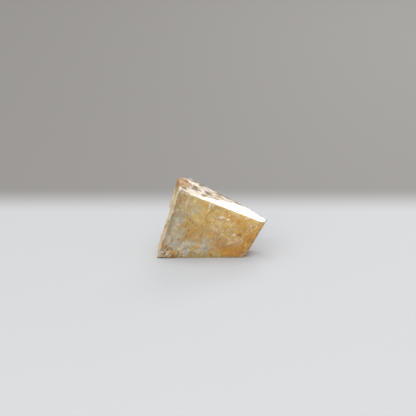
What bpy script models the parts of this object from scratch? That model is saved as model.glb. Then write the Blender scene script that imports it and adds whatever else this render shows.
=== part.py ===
"""Rutilated quartz freeform, modelled as one solid.

A piece of clear quartz, ground and polished into a leaning freeform. Flat facets
bound it on every side and their edges are slightly polished over. The left side
and the top left corner keep the crystal's own rough skin, with a ledge, growth
steps and pits. Shell-shaped chips and scars mark the edges and the back.

Metres, +Z up. The stone rests on its flat base, with the middle of its box's
underside at the origin.
"""

import math

import bmesh
import bpy
from mathutils import Matrix, Vector, noise

MM = 0.001
PART_NAME = "quartz_freeform"

BLOCK_SIZE = 90.0 * MM       # the rough block that the facets are ground from
EDGE_ROUNDING = 0.28 * MM    # width polished off every facet edge
EDGE_SEGMENTS = 2
EDGE_MIN_ANGLE = math.radians(8.0)

# Facet: bearing of its outward normal in degrees (0 faces -Y, 90 faces +X), the
# normal's tilt above level in degrees, and its distance in mm from the base's middle.
FACETS = {
    "base": (0.0, -90.0, 0.0),
    "front": (1.5, 4.0, 9.28),
    "top": (78.0, 67.5, 16.42),
    "top_lean": (80.6, 68.2, 16.415),
    "right": (78.5, -29.5, 10.08),
    "right_bevel": (36.0, -13.0, 12.60),
    "back": (155.0, -5.0, 4.70),
    "back_bevel": (143.5, 30.0, 13.12),
    "rear_bevel": (136.5, 24.0, 12.75),
    "back_left": (-128.0, 12.0, 15.39),
    "left": (-85.5, 18.5, 16.44),
}

# A relief is a grid that sinks below a facet's plane, cut into it by a slab.
RELIEF_CELL = 0.5 * MM
SLAB_THICKNESS = 6.0 * MM

# Rough skin on the left side: how deep it lies below that facet's plane.
SKIN_MIDDLE = Vector((-14.0, -1.5, 11.0)) * MM
SKIN_WIDTH = 24.0 * MM
SKIN_HEIGHT = 32.0 * MM
SKIN_FRONT = -9.2 * MM        # Y of the front edge, where the skin runs out
SKIN_TAPER = 5.5 * MM         # the skin reaches its full depth this far behind it
SKIN_FADE = 16.0 * MM         # and lies closer to the plane again above this height
SKIN_FADE_HEIGHT = 3.0 * MM
SKIN_AT_TOP = 0.25            # share of its depth that is left there
LEDGE_DROP = 0.62 * MM        # the skin drops by this much below the ledge
LEDGE_FOOT = 12.2 * MM        # heights between which the ledge falls
LEDGE_TOP = 13.0 * MM
GROWTH_STEP = 4.8 * MM        # height of one growth step
GROWTH_SLANT = 0.25           # how much the steps fall towards the back
GROWTH_DEPTH = 0.30 * MM
GROWTH_RETURN = 5.0           # the last fifth of each step comes back out
GRAIN_SCALE = 1.7 * MM        # width of the skin's lumps and pits
GRAIN_DEPTH = 0.18 * MM
GRAIN_AT_FRONT = 0.3          # share of that depth where the skin runs out
FINE_GRAIN = 0.4              # width of the fine lumps, as a share of the coarse
FINE_SHARE = 0.5              # and their depth

# The skin also covers the top left corner, on the top's leaning facet.
CORNER_MIDDLE = Vector((-8.9, 1.0, 21.6)) * MM
CORNER_REACH = Vector((3.3, 5.4, 3.0)) * MM     # how far it reaches along X, Y and Z
CORNER_WIDTH = 12.0 * MM
CORNER_HEIGHT = 8.0 * MM
CORNER_BITE = 0.06 * MM

# The broad shell-shaped break left unpolished on the back facet.
BREAK_MIDDLE = Vector((3.0, 5.0, 9.0)) * MM
BREAK_STRUCK = Vector((-3.0, 8.0, 14.5)) * MM   # the blow that the ripples spread from
BREAK_WIDTH = 16.0 * MM
BREAK_RADIUS = 17.0 * MM
BREAK_BITE = 0.85 * MM
RIPPLE_STEP = 2.6 * MM
RIPPLE_HEIGHT = 0.10 * MM

# Scar: the facets that meet where it was struck, how far it lies from the first
# corner to the second (each corner is where the pair meets a third facet), and the
# shell's three radii and its bite, in mm.
SCARS = {
    "tip": (("top_lean", "back_left"), ("left", "back_bevel"), 0.30, (5.2, 13.0, 7.0), 0.28),
    "heel": (("front", "left"), ("base", "top"), 0.08, (1.8, 1.8, 2.4), 0.26),
    "left_nick": (("front", "left"), ("base", "top"), 0.66, (1.5, 1.5, 2.4), 0.22),
    "left_flake": (("front", "left"), ("base", "top"), 0.33, (1.9, 1.6, 3.2), 0.26),
    "right_flake": (("right", "right_bevel"), ("base", "top"), 0.62, (1.6, 1.6, 3.6), 0.30),
    "base_flake": (("front", "base"), ("left", "right_bevel"), 0.83, (3.4, 2.0, 2.0), 0.24),
    "rear_nick": (
        ("top_lean", "back_bevel"), ("back_left", "rear_bevel"), 0.30, (1.8, 1.8, 1.6), 0.24
    ),
    "rear_flake": (("top", "back_bevel"), ("back_left", "rear_bevel"), 0.78, (3.2, 2.6, 2.0), 0.22),
    "rear_heel": (("back", "base"), ("back_left", "right"), 0.35, (4.2, 3.4, 3.0), 0.60),
    "rear_corner": (("back", "back_left"), ("base", "back_bevel"), 0.55, (3.0, 3.0, 5.0), 0.42),
    "right_heel": (("right", "base"), ("right_bevel", "back"), 0.60, (2.2, 3.2, 2.2), 0.40),
}

SHELL_SEGMENTS = 28
SHELL_RINGS = 16

QUARTZ_COLOUR = (0.86, 0.72, 0.47, 1.0)
QUARTZ_IOR = 1.544
QUARTZ_ROUGHNESS = 0.06


def clear_scene():
    for obj in list(bpy.data.objects):
        bpy.data.objects.remove(obj, do_unlink=True)


def new_collection(name):
    collection = bpy.data.collections.new(name)
    bpy.context.scene.collection.children.link(collection)
    return collection


def smooth_step(value):
    """0 below 0, 1 above 1, and an even S-curve between them."""
    value = min(max(value, 0.0), 1.0)
    return value * value * (3.0 - 2.0 * value)


def facet_normal(name):
    bearing, tilt, _ = FACETS[name]
    bearing = math.radians(bearing)
    tilt = math.radians(tilt)
    level = math.cos(tilt)
    return Vector((math.sin(bearing) * level, -math.cos(bearing) * level, math.sin(tilt)))


def facet_distance(name):
    return FACETS[name][2] * MM


def facet_corner(first, second, third):
    """The point where three facets' planes meet."""
    names = (first, second, third)
    normals = Matrix([facet_normal(name) for name in names])
    distances = Vector([facet_distance(name) for name in names])
    return normals.inverted() @ distances


def quartz_material():
    material = bpy.data.materials.new("quartz")
    material.use_nodes = True
    shader = material.node_tree.nodes["Principled BSDF"]
    shader.inputs["Base Color"].default_value = QUARTZ_COLOUR
    shader.inputs["Metallic"].default_value = 0.0
    shader.inputs["Roughness"].default_value = QUARTZ_ROUGHNESS
    shader.inputs["IOR"].default_value = QUARTZ_IOR
    shader.inputs["Transmission Weight"].default_value = 1.0
    return material


def add_object(name, shape, collection, parent):
    """Makes an object from a finished bmesh, in a collection and under a parent."""
    mesh = bpy.data.meshes.new(name)
    shape.to_mesh(mesh)
    shape.free()
    obj = bpy.data.objects.new(name, mesh)
    collection.objects.link(obj)
    obj.parent = parent
    return obj


def grind_facet(shape, name):
    """Cuts away everything beyond one facet's plane and closes the cut."""
    normal = facet_normal(name)
    everything = shape.verts[:] + shape.edges[:] + shape.faces[:]
    cut = bmesh.ops.bisect_plane(
        shape,
        geom=everything,
        dist=1e-7,
        plane_co=normal * facet_distance(name),
        plane_no=normal,
        clear_outer=True,
    )
    rim = [item for item in cut["geom_cut"] if isinstance(item, bmesh.types.BMEdge)]
    bmesh.ops.edgeloop_fill(shape, edges=rim)


def ground_block():
    shape = bmesh.new()
    bmesh.ops.create_cube(shape, size=BLOCK_SIZE)
    for name in FACETS:
        grind_facet(shape, name)
    bmesh.ops.recalc_face_normals(shape, faces=shape.faces[:])
    return shape


def round_edges(stone):
    bevel = stone.modifiers.new("edge_rounding", "BEVEL")
    bevel.width = EDGE_ROUNDING
    bevel.segments = EDGE_SEGMENTS
    bevel.limit_method = "ANGLE"
    bevel.angle_limit = EDGE_MIN_ANGLE


def skin_grain(place):
    """Lumps and pits of the crystal's own skin."""
    coarse = 0.5 + 0.5 * noise.noise(place / GRAIN_SCALE)
    fine = 0.5 + 0.5 * noise.noise(place / (FINE_GRAIN * GRAIN_SCALE))
    return GRAIN_DEPTH * (coarse + FINE_SHARE * fine)


def skin_relief(place):
    """How far the skin lies below the left facet's plane at a place on that plane."""
    taper = smooth_step((place.y - SKIN_FRONT) / SKIN_TAPER)
    ledge = 1.0 - smooth_step((place.z - LEDGE_FOOT) / (LEDGE_TOP - LEDGE_FOOT))
    # each growth step slopes in from its foot and comes back out at once
    slant = place.z + GROWTH_SLANT * place.y
    step = (slant / GROWTH_STEP) % 1.0
    growth = step * smooth_step((1.0 - step) * GROWTH_RETURN)
    fade = smooth_step((place.z - SKIN_FADE) / SKIN_FADE_HEIGHT)
    taper *= 1.0 - (1.0 - SKIN_AT_TOP) * fade
    skin = taper * (LEDGE_DROP * ledge + GROWTH_DEPTH * growth)
    grain_share = GRAIN_AT_FRONT + (1.0 - GRAIN_AT_FRONT) * taper
    return skin + grain_share * skin_grain(place)


def corner_relief(place):
    """How far the skin lies below the leaning facet's plane at the top left corner."""
    away = place - CORNER_MIDDLE
    reach = Vector([away[axis] / CORNER_REACH[axis] for axis in range(3)])
    return (CORNER_BITE + skin_grain(place)) * (1.0 - reach.length_squared)


def break_relief(place):
    """How far the broad break lies below the back facet's plane."""
    middle = on_facet("back", BREAK_MIDDLE)
    struck = on_facet("back", BREAK_STRUCK)
    hollow = BREAK_BITE - (place - middle).length_squared / (2.0 * BREAK_RADIUS)
    ripple = math.cos(math.tau * (place - struck).length / RIPPLE_STEP)
    return hollow + RIPPLE_HEIGHT * ripple


def on_facet(name, place):
    """The nearest point on a facet's plane."""
    normal = facet_normal(name)
    return place - normal * (normal.dot(place) - facet_distance(name))


def relief_slab(facet, relief, middle, width, height):
    """A slab lying on a facet, whose inner face is sunk into it by a relief."""
    normal = facet_normal(facet)
    upward = (Vector((0.0, 0.0, 1.0)) - normal * normal.z).normalized()
    across = upward.cross(normal)
    foot = on_facet(facet, middle)
    shape = bmesh.new()
    bmesh.ops.create_grid(
        shape,
        x_segments=round(width / RELIEF_CELL),
        y_segments=round(height / RELIEF_CELL),
        size=0.5,
    )
    for vert in shape.verts:
        place = foot + across * vert.co.x * width + upward * vert.co.y * height
        vert.co = place - normal * relief(place)

    slab = bmesh.ops.extrude_face_region(shape, geom=shape.faces[:], use_keep_orig=True)
    for item in slab["geom"]:
        if isinstance(item, bmesh.types.BMVert):
            item.co -= normal * (normal.dot(item.co - foot) - SLAB_THICKNESS)
    bmesh.ops.recalc_face_normals(shape, faces=shape.faces[:])
    return shape


def shell_cutter(pair, ends, along, radii, bite):
    """An ellipsoid that bites a shell-shaped scar out of the edge of two facets."""
    outward = (facet_normal(pair[0]) + facet_normal(pair[1])).normalized()
    start = facet_corner(pair[0], pair[1], ends[0])
    end = facet_corner(pair[0], pair[1], ends[1])
    deepest = start.lerp(end, along) - outward * bite * MM
    radii = Vector(radii) * MM
    # from the ellipsoid's deepest point back to its middle
    stretched = radii * radii * outward
    back_out = stretched / math.sqrt(stretched.dot(outward))
    shape = bmesh.new()
    bmesh.ops.create_uvsphere(
        shape,
        u_segments=SHELL_SEGMENTS,
        v_segments=SHELL_RINGS,
        radius=1.0,
        matrix=Matrix.Translation(deepest + back_out) @ Matrix.Diagonal((*radii, 1.0)),
    )
    return shape


def cut_away(stone, cutter):
    cutter.display_type = "WIRE"
    cutter.hide_render = True
    difference = stone.modifiers.new(cutter.name, "BOOLEAN")
    difference.operation = "DIFFERENCE"
    difference.solver = "EXACT"
    difference.object = cutter


def centre_on_base(parent, stone):
    """Moves the whole model so that the stone's box stands centred on the origin."""
    bpy.context.view_layer.update()
    evaluated = stone.evaluated_get(bpy.context.evaluated_depsgraph_get())
    corners = [evaluated.matrix_world @ Vector(corner) for corner in evaluated.bound_box]
    low = Vector([min(corner[axis] for corner in corners) for axis in range(3)])
    high = Vector([max(corner[axis] for corner in corners) for axis in range(3)])
    middle = (low + high) / 2.0
    parent.location -= Vector((middle.x, middle.y, low.z))


def build():
    clear_scene()
    parts = new_collection("rutilated_quartz_freeform")
    cutters = new_collection("cutters")
    base_middle = bpy.data.objects.new("base_middle", None)
    parts.objects.link(base_middle)

    stone = add_object(PART_NAME, ground_block(), parts, base_middle)
    stone.data.materials.append(quartz_material())
    round_edges(stone)

    skin = relief_slab("left", skin_relief, SKIN_MIDDLE, SKIN_WIDTH, SKIN_HEIGHT)
    cut_away(stone, add_object("rough_skin", skin, cutters, base_middle))
    corner = relief_slab(
        "top_lean", corner_relief, CORNER_MIDDLE, CORNER_WIDTH, CORNER_HEIGHT
    )
    cut_away(stone, add_object("corner_skin", corner, cutters, base_middle))
    hollow = relief_slab("back", break_relief, BREAK_MIDDLE, BREAK_WIDTH, BREAK_WIDTH)
    cut_away(stone, add_object("broad_break", hollow, cutters, base_middle))
    for name, scar in SCARS.items():
        cut_away(stone, add_object("scar_" + name, shell_cutter(*scar), cutters, base_middle))

    centre_on_base(base_middle, stone)


build()
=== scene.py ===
"""Looks of the rutilated quartz freeform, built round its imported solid.

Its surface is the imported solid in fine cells, with finer relief on rough skin, fractures
and worn edges. Inside lie the inclusions: rutile needles, stained and cloudy plates, and
dust. A thin rind covers the rough skin. Lengths are in mm, unless they say m.
"""
import math

import bmesh
import bpy
import numpy as np
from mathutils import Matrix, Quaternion, Vector, noise
from mathutils.bvhtree import BVHTree


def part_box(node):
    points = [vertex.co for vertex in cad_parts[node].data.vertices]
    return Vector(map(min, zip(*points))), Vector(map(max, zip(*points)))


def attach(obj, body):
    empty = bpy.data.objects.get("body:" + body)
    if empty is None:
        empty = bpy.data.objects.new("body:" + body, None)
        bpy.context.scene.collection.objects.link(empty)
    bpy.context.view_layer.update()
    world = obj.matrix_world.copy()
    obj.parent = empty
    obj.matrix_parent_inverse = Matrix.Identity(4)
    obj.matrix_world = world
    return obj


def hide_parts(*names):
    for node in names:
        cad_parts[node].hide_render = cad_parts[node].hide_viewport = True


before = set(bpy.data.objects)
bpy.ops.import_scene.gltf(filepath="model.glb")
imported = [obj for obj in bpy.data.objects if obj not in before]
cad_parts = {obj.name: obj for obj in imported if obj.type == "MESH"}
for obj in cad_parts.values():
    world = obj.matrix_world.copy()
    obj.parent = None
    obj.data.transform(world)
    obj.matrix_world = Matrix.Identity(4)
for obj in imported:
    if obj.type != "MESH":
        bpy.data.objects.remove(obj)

MM = 0.001
NODE = "quartz_freeform"
SEED = 11
rng = np.random.default_rng(SEED)

# The camera, in front of the large facet and a little above.
CAMERA_PLACE = Vector((-1.1, -438.3, 122.6)) * MM
CAMERA_TARGET = Vector((-1.1, -1.7, 13.7)) * MM
CAMERA_LENS = 126.6
CAMERA_SENSOR = 36.0
CAMERA_NEAR = 0.01  # in m

# Ways that the facets face, in degrees: bearing round from -Y, tilt above level.
FACET_FACING = {
    "front": (1.5, 4.0),
    "top": (78.0, 67.5),
    "top_lean": (80.6, 68.2),
    "right": (78.5, -29.5),
    "right_bevel": (36.0, -13.0),
    "back": (155.0, -5.0),
    "back_bevel": (143.5, 30.0),
    "rear_bevel": (136.5, 24.0),
    "back_left": (-128.0, 12.0),
    "left": (-85.5, 18.5),
    "base": (0.0, -90.0),
}

# How the surface is cut.
CELL = 0.5
EDGE_REACH = 0.35  # cells this near an edge are cut fine
ROUGH_FROM = 0.3  # and so is ground at least this rough
SAME_PLACE = 1e-7  # points this near each other (in m) are one
ON_CUT = 1e-8  # points this near a cut (in m) lie on it
FLAT_TURN = 0.4  # faces that turn less than this (in degrees) are one
SHARP_TURN = 36.0  # an edge that turns more than this (in degrees) is sharp

# The natural skin: the rough left side, and a patch at the top left corner.
SKIN_FACING = 0.55  # it faces the left facet's way by at least this cosine
SKIN_BLEND = 0.2  # in full where it does so by this much more
SKIN_DEPTH = 2.2  # and lies less than this below that facet's plane
SKIN_GRAIN = 0.16  # depth of its fine relief
SKIN_CORNER = np.array((-9.0, 0.6, 21.7))
SKIN_CORNER_REACH = np.array((3.6, 5.4, 2.5))
CORNER_BLEND = 0.3

# The shell-shaped fractures.
BREAK_DEPTH = 0.05  # they lie deeper than this below every facet
BREAK_BLEND = 0.08  # in full where they lie this much deeper
BREAK_GRAIN = 0.05  # depth of their fine relief
BREAK_FROST = 0.35  # how matt they are

# The top's leaning facet.
LEAN_BAND = 0.1  # places this near its plane are on it
RIPPLE = 0.004  # its unevenness
BRUISE_FROST = 0.5  # how matt its bruised patches are

# Small shell-shaped bites along the edges.
NICKS = 90
NICK_BAND = 0.12  # they are struck this near an edge
NICK_TURN = 0.25  # how far they turn from the edge's way
NICK_RADIUS = (0.25, 0.9)
NICK_BITE = (0.08, 0.24)  # depth, as a share of the radius
TINY = 1e-9

# Noise in layers: the weight, lump size and shift of each.
CORNER_RAGGED = ((0.3, 1.3, 6.1), (0.3, 0.45, 2.7))
ROUGH_GRAIN = ((0.55, 0.9, 0.0), (0.3, 0.42, 3.7), (0.15, 0.2, 9.1))
RIND_WEAR = ((0.6, 2.4, 3.3), (0.7, 0.6, 9.9))

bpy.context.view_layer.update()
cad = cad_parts[NODE]
LOW, HIGH = (np.array(corner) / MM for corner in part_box(NODE))


def facing(bearing, tilt):
    bearing, tilt = math.radians(bearing), math.radians(tilt)
    level = math.cos(tilt)
    return np.array((math.sin(bearing) * level, -math.cos(bearing) * level, math.sin(tilt)))


def smooth(value):
    value = np.clip(value, 0.0, 1.0)
    return value * value * (3.0 - 2.0 * value)


def noise_at(places, size, shift=0.0):
    """Smooth noise from -1 to 1 at each place, with lumps of the given size."""
    moved = places / size + shift
    return np.array([noise.noise(Vector(place)) for place in moved])


def layered_noise(places, layers):
    return sum(weight * noise_at(places, size, shift) for weight, size, shift in layers)


def streaky_noise(places, way, size, stretch, shift):
    """Noise drawn out along one way, stretch times as long as it is wide."""
    along = places @ way * (1.0 - 1.0 / stretch)
    return noise_at(places - along[:, None] * way, size, shift)


def unit(vectors):
    return vectors / np.maximum(np.linalg.norm(vectors, axis=-1, keepdims=True), TINY)


# ---- objects and meshes

def link_object(name, data):
    thing = bpy.data.objects.new(name, data)
    bpy.context.scene.collection.objects.link(thing)
    return thing


def add_piece(name, mesh, material):
    mesh.materials.append(material)
    piece = link_object(name, mesh)
    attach(piece, "root")
    return piece


def mesh_from(bm, name):
    mesh = bpy.data.meshes.new(name)
    bm.to_mesh(mesh)
    bm.free()
    return mesh


def set_attribute(mesh, name, values):
    """Gives each of a mesh's points a number."""
    attribute = mesh.attributes.new(name, "FLOAT", "POINT")
    attribute.data.foreach_set("value", values.astype(np.float32))


def point_places(bm):
    return np.array([vert.co for vert in bm.verts]) / MM


def move_points(bm, places):
    for vert, place in zip(bm.verts, places * MM):
        vert.co = place


def face_arrays(bm):
    """The middle and the normal of each face."""
    bm.normal_update()
    centres = np.array([face.calc_center_median() for face in bm.faces]) / MM
    normals = np.array([face.normal for face in bm.faces])
    return centres, normals


# ---- the surface

def facet_planes():
    """Normals and distances of the stone's facets. The solid reaches each of them."""
    corners = np.array([vert.co for vert in cad.data.vertices]) / MM
    normals = np.array([facing(*angles) for angles in FACET_FACING.values()])
    return normals, (corners @ normals.T).max(axis=0)


NORMALS, DISTANCES = facet_planes()
FRONT, TOP, LEAN, LEFT = (
    list(FACET_FACING).index(name) for name in ("front", "top", "top_lean", "left")
)


def facet_gaps(places):
    """How far each place lies inside each facet's plane. The top's two count as one."""
    gaps = DISTANCES - places @ NORMALS.T
    gaps[:, TOP] = gaps[:, [TOP, LEAN]].min(axis=1)
    gaps[:, LEAN] = np.inf
    return gaps


def depths(places):
    """How far each place lies inside the facets' planes, smallest first."""
    return np.sort(facet_gaps(places), axis=1)


def behind_crease(places):
    """How far each place lies behind the crease between the top's two facets."""
    way = NORMALS[TOP] - NORMALS[LEAN]
    return (DISTANCES[TOP] - DISTANCES[LEAN] - places @ way) / np.linalg.norm(way)


def skin_share(centres, normals):
    """1 on the natural skin, 0 away from it."""
    below = DISTANCES[LEFT] - centres @ NORMALS[LEFT]
    turned = smooth((normals @ NORMALS[LEFT] - SKIN_FACING) / SKIN_BLEND) * (below < SKIN_DEPTH)
    away = np.linalg.norm((centres - SKIN_CORNER) / SKIN_CORNER_REACH, axis=1)
    patch = smooth((1.0 - away + layered_noise(centres, CORNER_RAGGED)) / CORNER_BLEND)
    return np.maximum(turned, patch)


def ground_shares(centres, normals):
    """How far each face is on the rough skin, and on a fracture below every facet."""
    skin = skin_share(centres, normals)
    depth = depths(centres)[:, 0]
    broken = smooth((depth - BREAK_DEPTH) / BREAK_BLEND) * (1.0 - skin)
    return np.stack([skin, broken], 1)


def cut_cells(bm):
    """Cuts the surface along a grid of planes into cells of one size."""
    for axis in range(3):
        way = Vector((0.0, 0.0, 0.0))
        way[axis] = 1.0
        for step in range(1, int((HIGH[axis] - LOW[axis]) / CELL) + 1):
            place = Vector(LOW * MM) + way * (step * CELL * MM)
            geom = bm.verts[:] + bm.edges[:] + bm.faces[:]
            bmesh.ops.bisect_plane(bm, geom=geom, dist=ON_CUT, plane_co=place, plane_no=way)


def refine(bm, wanted):
    """Halves the cells of the wanted faces, all cut to triangles first."""
    marked = bm.faces.layers.int.new("refine")
    for face, want in zip(bm.faces, wanted):
        face[marked] = int(want)
    bmesh.ops.triangulate(bm, faces=bm.faces[:])
    edges = {edge for face in bm.faces if face[marked] for edge in face.edges}
    bmesh.ops.subdivide_edges(bm, edges=list(edges), cuts=1, use_grid_fill=True)
    bmesh.ops.triangulate(bm, faces=[face for face in bm.faces if len(face.verts) > 3])
    bm.faces.layers.int.remove(marked)


def cut_surface(bm):
    """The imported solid's surface in cells, fine ones near edges and on rough ground."""
    bm.from_mesh(cad.data)
    bmesh.ops.remove_doubles(bm, verts=bm.verts[:], dist=SAME_PLACE)
    flat = math.radians(FLAT_TURN)
    bmesh.ops.dissolve_limit(bm, angle_limit=flat, verts=bm.verts[:], edges=bm.edges[:])
    cut_cells(bm)
    centres, normals = face_arrays(bm)
    rough = ground_shares(centres, normals).sum(axis=1) > ROUGH_FROM
    edge = depths(centres)[:, 1] < EDGE_REACH
    refine(bm, rough | edge)


def rough_shares(bm):
    """The shares of rough ground at each point, which are its faces' mean."""
    shares = ground_shares(*face_arrays(bm))
    total = np.zeros((len(bm.verts), 2))
    count = np.zeros((len(bm.verts), 1))
    bm.verts.index_update()
    for face, share in zip(bm.faces, shares):
        for vert in face.verts:
            total[vert.index] += share
            count[vert.index] += 1
    return total / count


def carve_nicks(places):
    """Takes small shell-shaped bites out of the edges."""
    near_edge = np.flatnonzero(depths(places)[:, 1] < NICK_BAND)
    for _ in range(NICKS):
        struck = places[near_edge[rng.integers(len(near_edge))]]
        nearest = np.argsort(facet_gaps(struck[None])[0])[:2]
        outward = NORMALS[nearest].sum(axis=0)
        outward += rng.normal(0.0, NICK_TURN, 3)
        outward /= np.linalg.norm(outward)
        radius = rng.uniform(*NICK_RADIUS)
        bite = radius * rng.uniform(*NICK_BITE)
        middle = struck + outward * (radius - bite)
        away = places - middle
        distance = np.linalg.norm(away, axis=1)
        inside = (distance < radius) & (distance > TINY)
        places[inside] = middle + away[inside] * (radius / distance[inside])[:, None]


def carve_relief(places, outward, rough):
    """Sinks rough and uneven ground by its fine relief. Gives how frosted it is."""
    grain = 0.5 + 0.5 * np.clip(layered_noise(places, ROUGH_GRAIN), -1, 1)
    relief = (rough[:, 0] * SKIN_GRAIN + rough[:, 1] * BREAK_GRAIN) * grain
    on_lean = DISTANCES[LEAN] - places @ NORMALS[LEAN] < LEAN_BAND
    leaning = smooth(behind_crease(places)) * on_lean
    relief += RIPPLE * leaning * (0.5 + 0.5 * noise_at(places, size=1.1, shift=12.3))
    places -= outward * relief[:, None]
    places[:, 2] = np.maximum(places[:, 2], 0.0)
    bruised = leaning * smooth(0.4 + 1.6 * noise_at(places, size=1.9, shift=21.0))
    return np.clip(rough[:, 0] + BREAK_FROST * rough[:, 1] + BRUISE_FROST * bruised, 0, 1)


def build_body():
    """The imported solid, with finer relief where it is rough or worn."""
    bm = bmesh.new()
    cut_surface(bm)
    rough = rough_shares(bm)
    places = point_places(bm)
    outward = np.array([vert.normal for vert in bm.verts])
    carve_nicks(places)
    frosted = carve_relief(places, outward, rough)
    move_points(bm, places)
    mesh = mesh_from(bm, "quartz_body")
    set_attribute(mesh, "frosted", frosted)
    mesh.shade_smooth()
    mesh.set_sharp_from_angle(angle=math.radians(SHARP_TURN))
    body = add_piece("quartz_body", mesh, quartz_material())
    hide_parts(NODE)
    return body


# ---- materials

QUARTZ_IOR = 1.544
HONEY = (0.97, 0.83, 0.16, 1.0)  # the colour that a stretch of the quartz lets through
HONEY_DENSITY = 75.0  # per m
POLISH = (0.012, 0.06)  # roughness of the polish, from clean to smudged
FROST = 0.5  # roughness of the frosted ground


def new_material(name):
    material = bpy.data.materials.new(name)
    material.use_nodes = True
    tree = material.node_tree
    return material, tree, tree.nodes["Principled BSDF"]


def set_up(tree, node, settings):
    """Gives a node its properties and its inputs, each a value or another's output."""
    for name, value in settings.items():
        if name not in node.inputs:
            setattr(node, name, value)
        elif isinstance(value, bpy.types.NodeSocket):
            tree.links.new(value, node.inputs[name])
        else:
            node.inputs[name].default_value = value
    return node


def add_node(tree, kind, **settings):
    return set_up(tree, tree.nodes.new(kind), settings)


def math_node(tree, operation, first, second):
    node = add_node(tree, "ShaderNodeMath", operation=operation, use_clamp=True)
    tree.links.new(first, node.inputs[0])
    tree.links.new(second, node.inputs[1])
    return node.outputs["Value"]


def attribute_node(tree, name):
    return add_node(tree, "ShaderNodeAttribute", attribute_name=name).outputs["Fac"]


def noise_node(tree, scale, detail):
    """Noise that stays with the piece. scale is in lumps per m."""
    place = add_node(tree, "ShaderNodeTexCoord").outputs["Object"]
    node = add_node(tree, "ShaderNodeTexNoise", Vector=place, Scale=scale, Detail=detail)
    return node.outputs["Fac"]


def map_node(tree, value, target, source=(0.0, 1.0), kind="LINEAR"):
    """Carries a value over from one range to another."""
    node = add_node(tree, "ShaderNodeMapRange", interpolation_type=kind, Value=value)
    for side, ends in (("From", source), ("To", target)):
        set_up(tree, node, {side + " Min": ends[0], side + " Max": ends[1]})
    return node.outputs["Result"]


def bump_node(tree, height, strength, distance, **settings):
    """Relief in the shading, distance (mm) deep."""
    deep = {"Height": height, "Strength": strength, "Distance": distance * MM, **settings}
    return add_node(tree, "ShaderNodeBump", **deep).outputs["Normal"]


def quartz_material():
    """Clear honey-coloured quartz, frosted where its ground is rough."""
    material, tree, shader = new_material("clear_quartz")
    frosted = attribute_node(tree, "frosted")
    smudges = noise_node(tree, scale=220.0, detail=3.0)
    polish = map_node(tree, smudges, POLISH, source=(0.35, 0.75))
    rough = add_node(tree, "ShaderNodeMix", Factor=frosted, A=polish, B=FROST)
    waves = noise_node(tree, scale=330.0, detail=2.0)
    peel = bump_node(tree, waves, strength=0.10, distance=0.06)
    grain = noise_node(tree, scale=6000.0, detail=4.0)
    pits = math_node(tree, "MULTIPLY", grain, frosted)
    set_up(tree, shader, {
        "Base Color": (1.0, 1.0, 1.0, 1.0),
        "IOR": QUARTZ_IOR,
        "Transmission Weight": 1.0,
        "Roughness": rough.outputs["Result"],
        "Normal": bump_node(tree, pits, strength=0.6, distance=0.08, Normal=peel),
    })
    honey = add_node(tree, "ShaderNodeVolumeAbsorption", Density=HONEY_DENSITY, Color=HONEY)
    set_up(tree, tree.nodes["Material Output"], {"Volume": honey.outputs["Volume"]})
    return material


def mineral_material(name, roughness, metallic, mottle, pitted, colours):
    """A mineral whose grains take their colours from a scale, by their tints, which
    mottle varies. pitted is how deep the finest pits are."""
    material, tree, shader = new_material(name)
    speckle = noise_node(tree, scale=1400.0, detail=2.0)
    drift = map_node(tree, speckle, (-mottle, mottle))
    total = math_node(tree, "ADD", attribute_node(tree, "tint"), drift)
    scale = add_node(tree, "ShaderNodeValToRGB", Fac=total)
    stops = scale.color_ramp.elements
    while len(stops) < len(colours):
        stops.new(0.5)
    for index, colour in enumerate(colours):
        stops[index].position = index / (len(colours) - 1)
        stops[index].color = (*colour, 1.0)
    gloss = map_node(tree, speckle, (roughness * 0.7, roughness * 1.4))
    looks = {"Base Color": scale.outputs["Color"], "Roughness": gloss, "Metallic": metallic}
    set_up(tree, shader, looks)
    if pitted:
        pits = noise_node(tree, scale=5200.0, detail=4.0)
        set_up(tree, shader, {"Normal": bump_node(tree, pits, strength=1.0, distance=pitted)})
    return material


# Each mineral's roughness, metallic share, mottle, pits, and its colours from its darkest
# tint to its palest.
MINERALS = {
    "rutile_gold": (0.30, 0.12, 0.08, 0.0, [
        (0.66, 0.34, 0.08), (0.93, 0.66, 0.22), (0.98, 0.84, 0.42), (0.99, 0.93, 0.66),
    ]),
    "golden_haze": (0.6, 0.0, 0.08, 0.0, [
        (0.80, 0.40, 0.07), (0.95, 0.70, 0.25), (0.98, 0.87, 0.52), (0.99, 0.96, 0.82),
    ]),
    "iron_stain": (0.5, 0.0, 0.12, 0.0, [
        (0.42, 0.15, 0.02), (0.80, 0.34, 0.03), (0.96, 0.52, 0.05), (0.98, 0.66, 0.13),
    ]),
    "amber_stain": (0.4, 0.15, 0.12, 0.0, [
        (0.48, 0.22, 0.01), (0.80, 0.42, 0.015), (0.95, 0.60, 0.03), (0.98, 0.76, 0.12),
    ]),
    "healed_film": (0.25, 0.1, 0.06, 0.0, [
        (0.82, 0.50, 0.18), (0.94, 0.76, 0.44), (0.98, 0.91, 0.74), (0.98, 0.97, 0.94),
    ]),
    "open_crack": (0.28, 0.6, 0.06, 0.0, [
        (0.95, 0.72, 0.42), (0.97, 0.82, 0.58), (0.98, 0.92, 0.80), (0.98, 0.98, 0.97),
    ]),
    "weathered_rind": (0.75, 0.0, 0.12, 0.06, [
        (0.25, 0.12, 0.035), (0.36, 0.245, 0.115), (0.45, 0.36, 0.215), (0.51, 0.44, 0.31),
        (0.57, 0.52, 0.42),
    ]),
    # grey-blue air films, partly painted light: the pale floor seen through clear quartz
    "air_film": (0.22, 0.3, 0.10, 0.0, [
        (0.44, 0.47, 0.53), (0.62, 0.64, 0.70), (0.80, 0.80, 0.84), (0.96, 0.95, 0.95),
    ]),
}


# ---- grains and plates

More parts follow.
